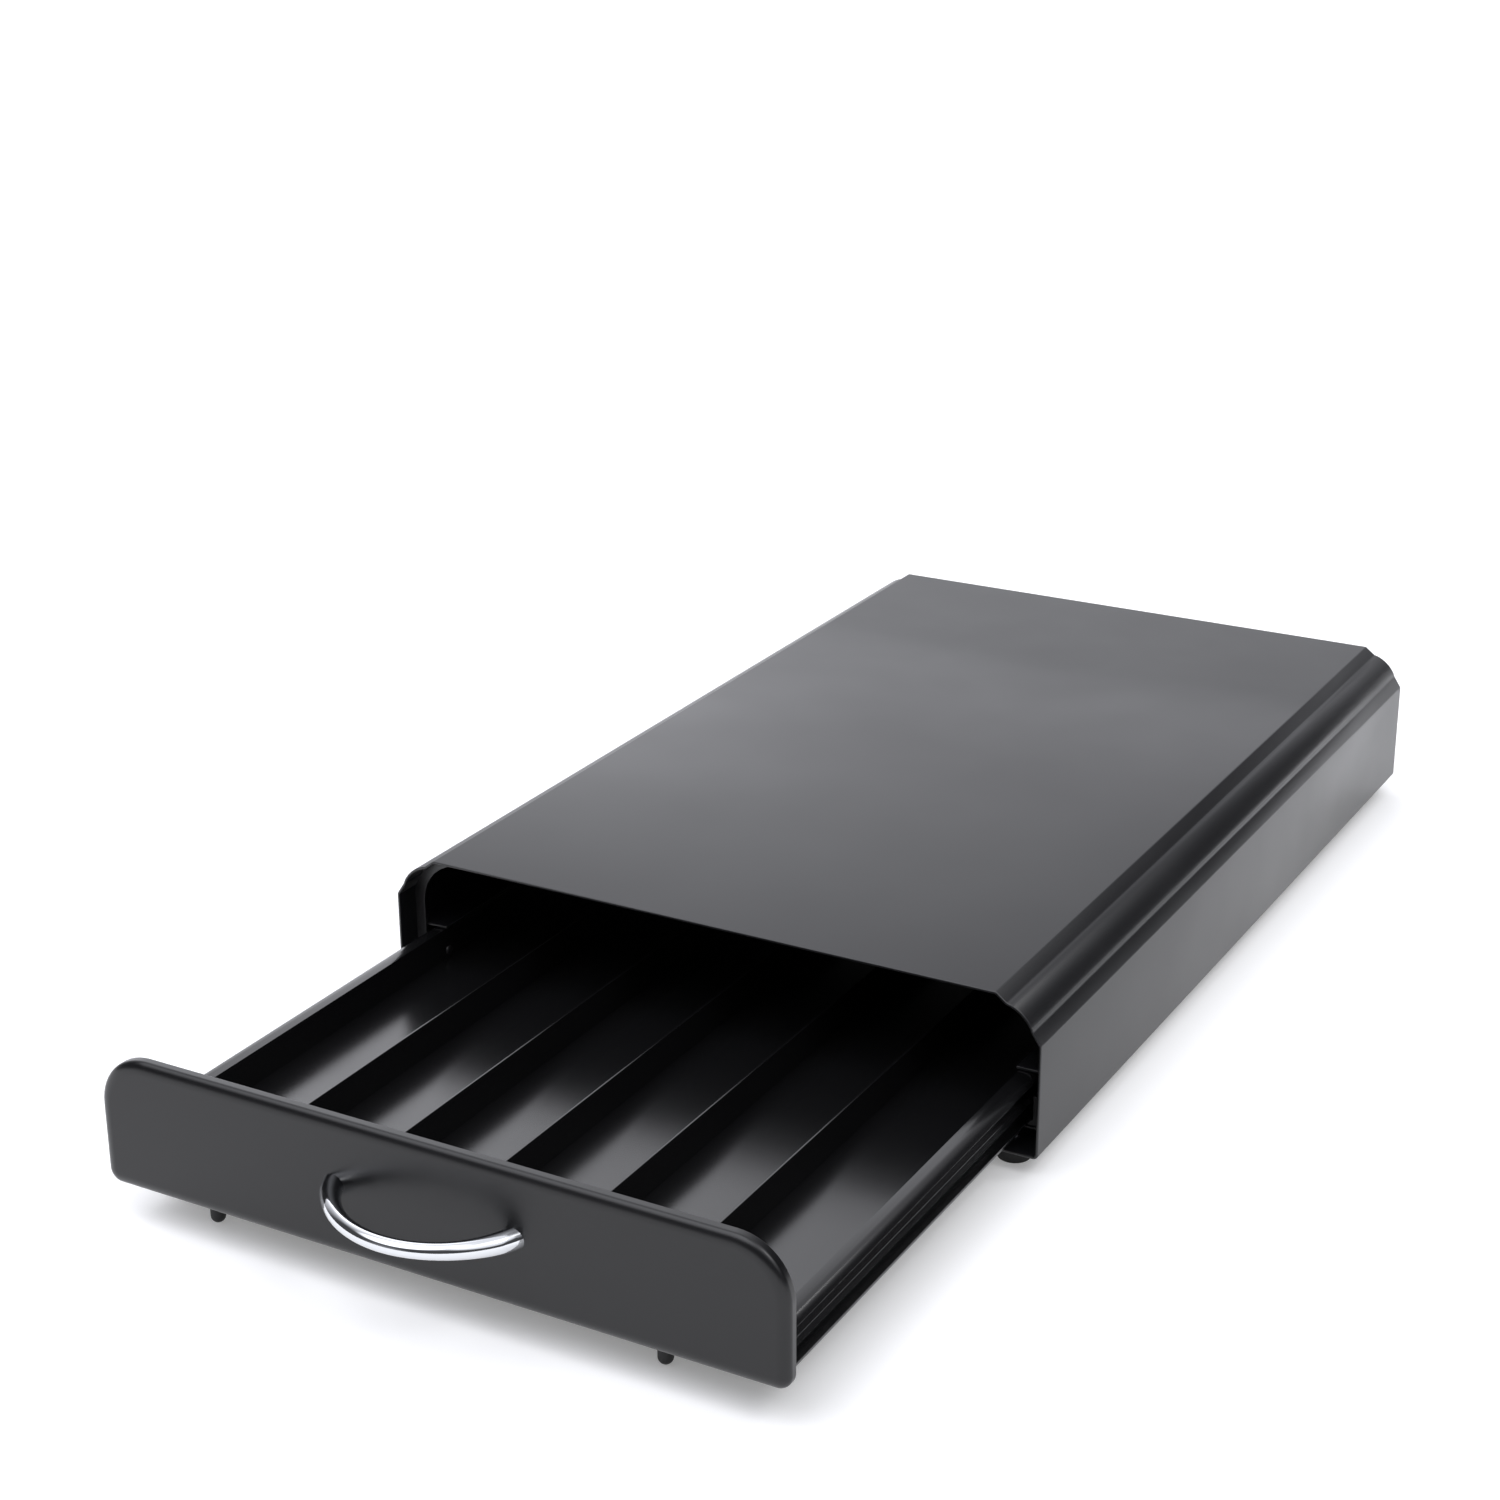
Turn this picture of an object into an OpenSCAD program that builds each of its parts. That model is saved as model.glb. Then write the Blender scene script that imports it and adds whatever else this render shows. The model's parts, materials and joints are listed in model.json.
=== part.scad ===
// Coffee capsule drawer: a sheet steel housing that carries a machine on its
// flat top, and a drawer with capsule channels that slides out of its front.
// X runs across, -Y points out of the front, Z is up and the counter is z = 0.

/* [Capsule channels] */
// Width of one channel, divider to divider
column_pitch = 40; // [38.5:0.5:44]
// Number of channels across the drawer
columns = 6; // [4:1:8]
// Length that one capsule takes along a channel
row_pitch = 38.2; // [37.5:0.1:42]
// Number of capsules along a channel
rows = 10; // [6:1:12]

/* [Sheet steel] */
// Thickness of the steel sheet
sheet = 1; // [0.8:0.1:1.2]
// Outer radius of the housing's bottom bends
bend_r = 2; // [1.5:0.25:3]
// Thickness of the divider strips
divider_t = 0.8; // [0.6:0.1:1]

/* [Housing] */
// Height of the top face above the counter
housing_h = 67; // [64:1:80]
// Width of the bottom flanges
flange_w = 25; // [22:1:30]
// Depth of the opening's rim in front of the stop frame
rim_depth = 10; // [9.5:0.5:14]
// Width of the stop frame's face
frame_w = 4.25; // [4:0.25:4.5]
// Thickness of the stop frame
frame_t = 1.5; // [1:0.25:2]
// Room between the closed tray and the back panel
rear_room = 7.6; // [4:0.2:15]
// Depth of the housing's rear rim behind the back panel
rear_rim = 2; // [1:0.5:5]
// Length of the back panel's forward flanges
back_flange = 12; // [8:1:16]
// Gap between the drawer rail's widest point and the runner
rail_side_gap = 4; // [3:0.5:6]

/* [Top moulding] */
// Run of the upper slope
slope_run = 4.2; // [3:0.1:5]
// Fall of the upper slope
slope_fall = 3.2; // [2:0.1:4]
// Run of the ledge below the upper slope
ledge_run = 1.3; // [1:0.1:2]
// Fall of the ledge
ledge_fall = 0.3; // [0.1:0.1:0.6]
// Radius of the round below the ledge
ovolo_r = 15; // [13:0.5:17]
// Angle at which the round starts
ovolo_start = 70.5; // [68:0.5:72]
// Angle at which the round ends
ovolo_end = 28.5; // [26:0.5:30]
// Run of the small step below the round
step_run = 0.5; // [0.3:0.1:0.8]
// Fall of the small step
step_fall = 1.4; // [1:0.1:2]
// Run of the lower slope
skirt_run = 3.2; // [2.5:0.1:4]
// Fall of the lower slope
skirt_fall = 4.8; // [4:0.1:6]

/* [Feet and braces] */
// Height of the rubber feet
foot_h = 7; // [6:0.5:9]
// Radius of a foot at its top
foot_r = 7; // [6:0.5:8]
// Radius of a foot at the counter
foot_tip_r = 6; // [5:0.25:6]
// Distance of the foot centres from the side faces
foot_inset_x = 13.5; // [12:0.5:14]
// Distance of the foot centres from the front and back edges
foot_inset_y = 11; // [8:1:20]
// Width of the cross braces
brace_w = 16; // [12:1:20]
// Thickness of the cross braces
brace_t = 1.5; // [1:0.25:2]
// Distance of the brace centres from the front and back edges
brace_inset = 34; // [32:1:60]

/* [Runners] */
// Space between the bottom flange and the runner's shelf
shelf_gap = 3.5; // [3.25:0.25:6]
// Depth of the runner's shelf and top lip from its web
runner_w = 13; // [11:0.5:15]
// Thickness of the guide block below the drawer rail
guide_base = 2; // [1.5:0.25:3]
// Height of the guide block's cheek above its base
cheek_h = 9.5; // [6:0.5:10]
// Length of the guide blocks
guide_len = 32; // [20:1:50]
// Length of the slide blocks at the drawer's rear
slide_len = 24; // [16:1:40]
// Gap between parts that slide on each other
slide_gap = 0.3; // [0.2:0.05:0.5]

/* [Drawer] */
// Distance that the drawer stands open
open_by = 176; // [0:1:176]
// Height of the side rails
rail_h = 18.5; // [17:0.5:24]
// Reach of the rail's top roll outside its web
roll_reach = 5; // [4:0.25:6]
// Outer radius of the rail's top roll
roll_r = 3; // [2:0.25:3.5]
// Angle at which the roll runs out into its skirt
roll_end = 30; // [20:1:40]
// Length of the skirt below the roll, before the wall turns in
roll_skirt = 1.2; // [1:0.1:2]
// Height of the slanted wall under the roll
tuck_h = 4.75; // [4.5:0.25:5]
// Reach of the rail's bottom lip outside its web
lip_reach = 3; // [2:0.25:3.5]
// Height of the bead's lower edge above the rail's bottom
bead_lift = 4.4; // [3:0.2:4.6]
// How far the bead stands out
bead_out = 0.6; // [0.4:0.1:0.8]
// Flat height of the bead
bead_flat = 1.4; // [1.1:0.1:1.8]
// Height of the tray floor above the rail's bottom
floor_lift = 5; // [3:0.25:6]
// Height of the tray's front wall above the middle of the handle's holes
front_wall_rise = 6.9; // [6.5:0.1:10]
// Length of a divider's tab
tab_len = 14; // [8:1:20]
// Distance of the outer tabs from the divider's ends
tab_inset = 40; // [25:1:60]
// How far the tabs stand out below the tray's floor
tab_out = 0.8; // [0.3:0.1:1]

/* [Drawer front] */
// Thickness of the front panel
panel_t = 5; // [4:0.5:8]
// Gap between the panel and the housing's sides
panel_side_gap = 2.8; // [2:0.1:3.2]
// Gap between the panel and the housing's top
panel_top_gap = 4; // [3:0.25:4]
// How far the panel reaches below the rails
panel_drop = 1; // [0.5:0.25:2.5]
// Radius of the panel's top corners
panel_top_r = 19; // [17:0.5:21]
// Radius of the panel's bottom corners
panel_bottom_r = 4.5; // [3:0.5:8]
// Gap between the closed panel and the stop frame
close_gap = 0.6; // [0.3:0.1:1]

/* [Handle] */
// Distance between the handle's ends at the panel
handle_span = 69.6; // [66:0.2:80]
// Distance from the panel's face to the bar's centre line
handle_reach = 21.6; // [18:0.2:28]
// Diameter of the handle's bar
handle_d = 5.7; // [5:0.1:7.5]
// Distance between the handle's screws
handle_screw_span = 65; // [60:1:68]
// Diameter of the bosses under the handle's ends
handle_boss_d = 7.6; // [7.4:0.1:9]
// Height of those bosses
handle_boss_h = 4.5; // [4:0.5:8]
// Height of the handle above the middle of the panel
handle_lift = 0.9; // [0:0.1:3]

/* [Glides] */
// Distance of the left glide from the middle
glide_left = 95; // [40:1:100]
// Distance of the right glide from the middle
glide_right = 79; // [40:1:100]
// Distance of the glides' collars behind the tray's front
glide_back = 5.3; // [0.3:0.5:10.3]
// Radius of the glides
glide_r = 2.6; // [2:0.2:3]
// Gap between the glides and the counter
glide_gap = 0.4; // [0.3:0.1:1]

/* [Fasteners] */
// Radius of the rivet shanks
rivet_r = 1.5; // [1.2:0.1:1.8]
// Radius of the rivet heads
rivet_head_r = 1.9; // [1.8:0.05:2]
// Height of the rivet heads
rivet_head_h = 0.8; // [0.5:0.1:1]
// Radius of the screw shanks
screw_r = 2; // [1.75:0.05:2.25]
// Radius of the screw heads
screw_head_r = 3.8; // [3.4:0.1:4]
// Height of the screw heads
screw_head_h = 2.2; // [1.6:0.1:2.5]
// Gap around shanks in their holes
hole_gap = 0.1; // [0.05:0.05:0.15]

/* [Hidden] */
$fn = 48;
nothing = 0.01; // overshoot of a cut past the face that it opens

// Half widths, from the channels outwards
channels_half = columns * column_pitch / 2;
tray_half = channels_half + sheet;
web_half = tray_half + sheet;
rail_half = web_half + roll_reach;
runner_half = rail_half + rail_side_gap;
inner_half = runner_half + sheet;
side_half = inner_half + sheet;
lip_half = inner_half - runner_w;
frame_half = inner_half - frame_w;
panel_half = inner_half - panel_side_gap;

// Heights, from the counter upwards
flange_top = foot_h + sheet;
shelf_top = flange_top + shelf_gap + sheet;
rail_bottom = shelf_top + guide_base + slide_gap;
rail_top = rail_bottom + rail_h;
lip_under = rail_top + slide_gap;
floor_under = rail_bottom + floor_lift;
floor_top = floor_under + sheet;
inner_top = housing_h - sheet;
panel_bottom = rail_bottom - panel_drop;
panel_top = inner_top - panel_top_gap;
panel_mid = (panel_bottom + panel_top) / 2;
handle_z = panel_mid + handle_lift;
front_wall_top = handle_z + front_wall_rise;

// Lengths, from the housing's front edge backwards, with the drawer closed
tray_len = rows * row_pitch + 2 * sheet;
tray_front = rim_depth - close_gap;
back_y = tray_front + tray_len + rear_room;
housing_d = back_y + sheet + rear_rim;
runner_front = rim_depth + frame_t;
runner_back = back_y - back_flange - slide_gap;
guide_front = runner_front + sheet;
rail_len = tray_len - slide_len;

// The part's origin lies under the middle of its box with the drawer as it stands
handle_front = tray_front - panel_t - open_by - handle_reach - handle_d / 2;
centre_y = (handle_front + housing_d) / 2;

// Moulding from the top face down to the side face, on the +X side
moulding_run = slope_run + ledge_run + step_run + skirt_run
    + ovolo_r * (cos(ovolo_end) - cos(ovolo_start));
slope_foot = [side_half - moulding_run + slope_run, housing_h - slope_fall];
ledge_foot = slope_foot + [ledge_run, -ledge_fall];
ovolo_centre = ledge_foot - ovolo_r * [cos(ovolo_start), sin(ovolo_start)];
step_head = ovolo_centre + ovolo_r * [cos(ovolo_end), sin(ovolo_end)];
step_foot = step_head + [step_run, -step_fall];
skirt_foot = step_foot + [skirt_run, -skirt_fall];
half_shell_path = concat(
    [[side_half - moulding_run, housing_h], slope_foot],
    arc(ovolo_centre, ovolo_r, ovolo_start, ovolo_end, 6),
    [step_foot, skirt_foot],
    arc([side_half - bend_r, foot_h + bend_r], bend_r, 0, -90, 4),
    [[side_half - flange_w, foot_h]]
);
shell_path = concat(flipped(half_shell_path), half_shell_path);

// Drawer rail from the tray's top edge over the roll and down to the lip
bead_low = rail_bottom + bead_lift;
bead_high = bead_low + bead_flat + 2 * bead_out;
roll_foot = rail_top - roll_r * (1 - sin(roll_end));
roll_centre = [
    rail_half - roll_skirt * sin(roll_end) - roll_r * cos(roll_end),
    rail_top - roll_r
];
tuck_top = roll_foot - roll_skirt * cos(roll_end);
tuck_foot = tuck_top - tuck_h;
rail_path = concat(
    [[channels_half, rail_top]],
    arc(roll_centre, roll_r, 90, roll_end, 5),
    [
        [rail_half, tuck_top],
        [web_half, tuck_foot],
        [web_half, bead_high],
        [web_half + bead_out, bead_high - bead_out],
        [web_half + bead_out, bead_low + bead_out],
        [web_half, bead_low],
        [web_half, rail_bottom + sheet],
        [web_half + lip_reach, rail_bottom + sheet],
    ]
);
rail_rivet_z = (bead_high + tuck_foot) / 2;
rail_rivet_inset = 30;
rail_rivet_ys = [rail_rivet_inset, rail_len / 2, rail_len - rail_rivet_inset];
slide_rivet_y = tray_len - slide_len / 2;
slide_rivet_grip = 6;

// Runner from its top lip round its web to its shelf
runner_path = [
    [lip_half, lip_under + sheet],
    [inner_half, lip_under + sheet],
    [inner_half, shelf_top - sheet],
    [lip_half, shelf_top - sheet],
];

// Places of the feet, braces and their fasteners
foot_x = side_half - foot_inset_x;
front_foot_y = foot_inset_y;
rear_foot_y = housing_d - foot_inset_y;
foot_recess = 3.5;
foot_screw_end = 1.5;
foot_places = [
    for (x = [-foot_x, foot_x], y = [front_foot_y, rear_foot_y]) [x, y]
];
brace_half = frame_half - hole_gap;
brace_ys = [brace_inset, housing_d - brace_inset];
brace_rivet_x = side_half - flange_w / 2;
brace_rivet_places = [for (x = [-brace_rivet_x, brace_rivet_x], y = brace_ys) [x, y]];
guide_pin_r = 2;
guide_pin_y = guide_front + guide_len / 2;
guide_cheek_x = web_half + lip_reach + slide_gap;
guide_pin_x = (lip_half + guide_cheek_x) / 2;

// Places of the panel's and the handle's screws
panel_screw_xs = [
    for (side = [-1, 1], channel = [0.5, 1.5]) side * (channels_half - channel * column_pitch)
];
wall_margin = 1.5;
panel_screw_z = front_wall_top - screw_head_r - wall_margin;
panel_skin = 1.5;
panel_screw_depth = panel_t - panel_skin;
handle_access_r = 6;
handle_screw_xs = [-handle_screw_span / 2, handle_screw_span / 2];
handle_boss_skin = 1;
handle_screw_depth = handle_boss_h - handle_boss_skin;
glide_collar = 1.2;
glide_y = glide_back + glide_collar + glide_r;
glide_collar_r = glide_r + glide_collar;
glide_collar_h = 1.5;
glide_head_h = 0.8;
glide_relief = [glide_y + glide_r + hole_gap + slide_gap, glide_head_h + slide_gap];

function unit(v) = v / norm(v);
function right_of(v) = [v[1], -v[0]];
function leg(path, i) = unit(path[i + 1] - path[i]);

// Points of an arc, from one angle to another
function arc(centre, r, from, to, steps) = [
    for (k = [0:steps]) let (a = from + (to - from) * k / steps) centre + r * [cos(a), sin(a)]
];

// A path mirrored to the -X side and walked the other way
function flipped(path) = [
    for (i = [len(path) - 1:-1:0]) [-path[i][0], path[i][1]]
];

// Corner i of a path, moved t to the right of the way it runs
function moved(path, i, t) =
    let (
        before = leg(path, max(i - 1, 0)),
        after = leg(path, min(i, len(path) - 2))
    )
    path[i] + (right_of(before) + right_of(after)) * t / (1 + before * after);

function inside(path, t) = [for (i = [0:len(path) - 1]) moved(path, i, t)];

// Outline of a bent sheet whose outer face follows a path
function bent(path, t) = concat(path, [for (i = [len(path) - 1:-1:0]) moved(path, i, t)]);

// Outline with round top corners and square bottom corners
function arch(half, bottom, top, r) = concat(
    [[half, bottom]],
    arc([half - r, top - r], r, 0, 90, 8),
    arc([r - half, top - r], r, 90, 180, 8),
    [[-half, bottom]]
);

module along_y(from, to) {
    translate([0, to, 0]) rotate([90, 0, 0]) linear_extrude(to - from) children();
}

module in_housing() {
    translate([0, -centre_y, 0]) children();
}

// The drawer's own y starts at the front face of its tray
module in_drawer() {
    translate([0, tray_front - open_by - centre_y, 0]) children();
}

module both_sides() {
    children();
    mirror([1, 0, 0]) children();
}

module upright(place, from, to, r) {
    translate([place[0], place[1], from]) cylinder(h = to - from, r = r);
}

module backward(x, z, from, to, r) {
    translate([x, from, z]) rotate([-90, 0, 0]) cylinder(h = to - from, r = r);
}

module sideways(y, z, from, to, r) {
    translate([from, y, z]) rotate([0, 90, 0]) cylinder(h = to - from, r = r);
}

// ---- Housing ----

module housing_shell() {
    color([0.13, 0.13, 0.14]) in_housing() difference() {
        along_y(0, housing_d) polygon(bent(shell_path, sheet));
        for (place = foot_places)
            upright(place, foot_h - nothing, flange_top + nothing, screw_r + hole_gap);
        for (place = brace_rivet_places)
            upright(place, foot_h - nothing, flange_top + nothing, rivet_r + hole_gap);
    }
}

// A pan that closes the rear, with flanges turned forward along the sides
module back_panel() {
    color([0.12, 0.12, 0.13]) in_housing() {
        along_y(back_y, back_y + sheet) polygon(inside(shell_path, sheet));
        both_sides()
            translate([inner_half - sheet, back_y - back_flange, shelf_top])
                cube([sheet, back_flange, step_foot[1] - skirt_fall - sheet - shelf_top]);
    }
}

// The frame that the closed front panel comes to rest against
module stop_frame() {
    color([0.1, 0.1, 0.11]) in_housing() along_y(rim_depth, rim_depth + frame_t) difference() {
        polygon(inside(shell_path, sheet));
        polygon(arch(frame_half, 0, inner_top - frame_w, panel_top_r - frame_w + panel_side_gap));
    }
}

module runner() {
    color([0.11, 0.11, 0.12]) in_housing() difference() {
        along_y(runner_front, runner_back) polygon(bent(runner_path, sheet));
        upright([guide_pin_x, guide_pin_y], shelf_top - sheet - nothing, shelf_top + nothing,
            guide_pin_r + hole_gap);
    }
}

// Nylon block on the shelf that the drawer rail slides on and beside
module guide_block() {
    color([0.16, 0.16, 0.17]) in_housing() {
        translate([lip_half, guide_front, shelf_top])
            cube([runner_half - lip_half, guide_len, guide_base]);
        translate([guide_cheek_x, guide_front, shelf_top + guide_base])
            cube([runner_half - guide_cheek_x, guide_len, cheek_h]);
        upright([guide_pin_x, guide_pin_y], shelf_top - sheet, shelf_top + guide_base / 2, guide_pin_r);
    }
}

module brace(y) {
    color([0.12, 0.12, 0.13]) in_housing() difference() {
        translate([-brace_half, y - brace_w / 2, flange_top]) cube([2 * brace_half, brace_w, brace_t]);
        for (x = [-brace_rivet_x, brace_rivet_x])
            upright([x, y], flange_top - nothing, flange_top + brace_t + nothing, rivet_r + hole_gap);
    }
}

module brace_rivets() {
    color([0.35, 0.35, 0.36]) in_housing() for (place = brace_rivet_places) {
        upright(place, foot_h - rivet_head_h, foot_h, rivet_head_r);
        upright(place, foot_h - rivet_head_h / 2, flange_top + brace_t + rivet_head_h / 2, rivet_r);
        upright(place, flange_top + brace_t, flange_top + brace_t + rivet_head_h, rivet_head_r);
    }
}

module foot(place) {
    color([0.07, 0.07, 0.07]) in_housing() difference() {
        translate([place[0], place[1], 0]) cylinder(h = foot_h, r1 = foot_tip_r, r2 = foot_r);
        upright(place, -nothing, foot_recess, screw_head_r + hole_gap);
        upright(place, 0, foot_h + nothing, screw_r + hole_gap);
    }
}

// Self-tapping screws, up through the feet into the bottom flanges
module foot_screws() {
    color([0.4, 0.4, 0.41]) in_housing() for (place = foot_places) {
        upright(place, foot_recess - screw_head_h, foot_recess, screw_head_r);
        upright(place, foot_recess - screw_head_h / 2, flange_top + foot_screw_end, screw_r);
    }
}

// ---- Drawer ----

// The tray's floor and four walls are welded along their edges
module tray_floor() {
    color([0.1, 0.1, 0.11]) in_drawer() difference() {
        translate([-tray_half, 0, floor_under]) cube([2 * tray_half, tray_len, sheet]);
        for (x = [-glide_left, glide_right])
            upright([x, glide_y], floor_under - nothing, floor_top + nothing, glide_r);
        for (i = [1:columns - 1], y = tab_ys())
            translate([divider_x(i) - divider_t / 2 - hole_gap, y - hole_gap, floor_under - nothing])
                cube([divider_t + 2 * hole_gap, tab_len + 2 * hole_gap, sheet + 2 * nothing]);
    }
}

module tray_front() {
    color([0.1, 0.1, 0.11]) in_drawer() difference() {
        union() {
            translate([-lip_half + slide_gap, 0, floor_top])
                cube([2 * (lip_half - slide_gap), sheet, front_wall_top - floor_top]);
            translate([-tray_half, 0, floor_top])
                cube([2 * tray_half, sheet, rail_top - sheet - floor_top]);
        }
        for (x = panel_screw_xs)
            backward(x, panel_screw_z, -nothing, sheet + nothing, screw_r + hole_gap);
        for (x = handle_screw_xs)
            backward(x, handle_z, -nothing, sheet + nothing, handle_access_r);
    }
}

module tray_back() {
    color([0.1, 0.1, 0.11]) in_drawer() translate([-tray_half, tray_len - sheet, floor_top])
        cube([2 * tray_half, sheet, rail_top - sheet - floor_top]);
}

module tray_side() {
    color([0.1, 0.1, 0.11]) in_drawer() difference() {
        translate([channels_half, sheet, floor_top])
            cube([sheet, tray_len - 2 * sheet, rail_top - sheet - floor_top]);
        for (y = concat(rail_rivet_ys, [slide_rivet_y]))
            sideways(y, rail_rivet_z, channels_half - nothing, tray_half + nothing, rivet_r + hole_gap);
    }
}

module rail() {
    color([0.14, 0.14, 0.15]) in_drawer() difference() {
        along_y(0, rail_len) polygon(bent(rail_path, sheet));
        for (y = rail_rivet_ys)
            sideways(y, rail_rivet_z, tray_half - nothing, web_half + nothing, rivet_r + hole_gap);
    }
}

module rail_rivets() {
    color([0.3, 0.3, 0.31]) in_drawer() both_sides() {
        for (y = rail_rivet_ys) {
            sideways(y, rail_rivet_z, channels_half - rivet_head_h, channels_half, rivet_head_r);
            sideways(y, rail_rivet_z, channels_half - rivet_head_h / 2,
                web_half + rivet_head_h / 2, rivet_r);
            sideways(y, rail_rivet_z, web_half, web_half + rivet_head_h, rivet_head_r);
        }
        sideways(slide_rivet_y, rail_rivet_z, channels_half - rivet_head_h, channels_half, rivet_head_r);
        sideways(slide_rivet_y, rail_rivet_z, channels_half - rivet_head_h / 2,
            tray_half + slide_rivet_grip, rivet_r);
    }
}

function divider_x(i) = i * column_pitch - channels_half;
function tab_ys() = [tab_inset, (tray_len - tab_len) / 2, tray_len - tab_inset - tab_len];

// An upright strip, cut out over the glides' heads at its front, whose tabs
// stand in slots of the floor and are peened below it
module divider(i) {
    x = divider_x(i) - divider_t / 2;
    color([0.12, 0.12, 0.13]) in_drawer() {
        difference() {
            translate([x, sheet, floor_top])
                cube([divider_t, tray_len - 2 * sheet, rail_top - floor_top]);
            translate([x - nothing, 0, floor_top - nothing])
                cube([divider_t + 2 * nothing, glide_relief[0], glide_relief[1] + nothing]);
        }
        for (y = tab_ys())
            translate([x, y, floor_under - tab_out]) cube([divider_t, tab_len, tab_out + sheet + nothing]);
    }
}

// Nylon block that rides between the runner's shelf and its top lip
module slide_block() {
    low = shelf_top + slide_gap;
    color([0.16, 0.16, 0.17]) in_drawer() difference() {
        translate([tray_half, rail_len, low])
            cube([runner_half - slide_gap - tray_half, slide_len, lip_under - slide_gap - low]);
        sideways(slide_rivet_y, rail_rivet_z, tray_half - nothing, tray_half + slide_rivet_grip, rivet_r);
    }
}

// Round-ended stud under the drawer's front that keeps it level on the counter
module glide(x) {
    color([0.08, 0.08, 0.08]) in_drawer() translate([x, glide_y, 0]) rotate_extrude()
        polygon(concat(
            arc([0, glide_gap + glide_r], glide_r, -90, 0, 8),
            [
                [glide_r, floor_under - glide_collar_h],
                [glide_collar_r, floor_under - glide_collar_h],
                [glide_collar_r, floor_under],
                [glide_r - hole_gap, floor_under],
                [glide_r - hole_gap, floor_top],
                [glide_r + hole_gap, floor_top],
                [glide_r - glide_head_h, floor_top + glide_head_h],
                [0, floor_top + glide_head_h],
            ]
        ));
}

module front_panel() {
    color([0.22, 0.22, 0.23]) in_drawer() difference() {
        along_y(-panel_t, 0) polygon(concat(
            arc([panel_half - panel_bottom_r, panel_bottom + panel_bottom_r], panel_bottom_r, -90, 0, 6),
            arc([panel_half - panel_top_r, panel_top - panel_top_r], panel_top_r, 0, 90, 12),
            arc([panel_top_r - panel_half, panel_top - panel_top_r], panel_top_r, 90, 180, 12),
            arc([panel_bottom_r - panel_half, panel_bottom + panel_bottom_r], panel_bottom_r, 180, 270, 6)
        ));
        for (x = panel_screw_xs) backward(x, panel_screw_z, -panel_screw_depth, nothing, screw_r);
        for (x = handle_screw_xs)
            backward(x, handle_z, -panel_t - nothing, nothing, screw_r + hole_gap);
    }
}

module panel_screws() {
    color([0.4, 0.4, 0.41]) in_drawer() for (x = panel_screw_xs) {
        backward(x, panel_screw_z, sheet, sheet + screw_head_h, screw_head_r);
        backward(x, panel_screw_z, -panel_screw_depth, sheet + screw_head_h / 2, screw_r);
    }
}

// A bar bent to an arc, standing on two short bosses
module handle() {
    half = handle_span / 2;
    bow_r = (half * half + handle_reach * handle_reach) / (2 * handle_reach);
    color([0.85, 0.86, 0.88]) in_drawer() translate([0, -panel_t, handle_z]) difference() {
        union() {
            intersection() {
                translate([0, bow_r - handle_reach, 0])
                    rotate_extrude() translate([bow_r, 0]) circle(d = handle_d);
                translate([-2 * half, -2 * handle_reach, -handle_d])
                    cube([4 * half, 2 * handle_reach, 2 * handle_d]);
            }
            for (x = handle_screw_xs) backward(x, 0, -handle_boss_h, 0, handle_boss_d / 2);
        }
        for (x = handle_screw_xs) backward(x, 0, -handle_screw_depth, nothing, screw_r);
    }
}

module handle_screws() {
    color([0.5, 0.5, 0.52]) in_drawer() for (x = handle_screw_xs) {
        backward(x, handle_z, 0, screw_head_h, screw_head_r);
        backward(x, handle_z, -panel_t - handle_screw_depth, screw_head_h / 2, screw_r);
    }
}

housing_shell();
back_panel();
stop_frame();
mirror([1, 0, 0]) runner();  // left_runner
runner();  // right_runner
mirror([1, 0, 0]) guide_block();  // left_guide_block
guide_block();  // right_guide_block
brace(brace_ys[0]);  // front_brace
brace(brace_ys[1]);  // rear_brace
brace_rivets();
foot([-foot_x, front_foot_y]);  // front_left_foot
foot([foot_x, front_foot_y]);  // front_right_foot
foot([-foot_x, rear_foot_y]);  // rear_left_foot
foot([foot_x, rear_foot_y]);  // rear_right_foot
foot_screws();
tray_floor();
tray_front();
tray_back();
mirror([1, 0, 0]) tray_side();  // left_tray_side
tray_side();  // right_tray_side
mirror([1, 0, 0]) rail();  // left_rail
rail();  // right_rail
rail_rivets();
for (i = [1:columns - 1])
    divider(i);
mirror([1, 0, 0]) slide_block();  // left_slide_block
slide_block();  // right_slide_block
glide(-glide_left);  // left_glide
glide(glide_right);  // right_glide
front_panel();
panel_screws();
handle();
handle_screws();
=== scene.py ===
import json
import math
import bmesh
import bpy
from mathutils import Matrix, Vector

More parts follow.
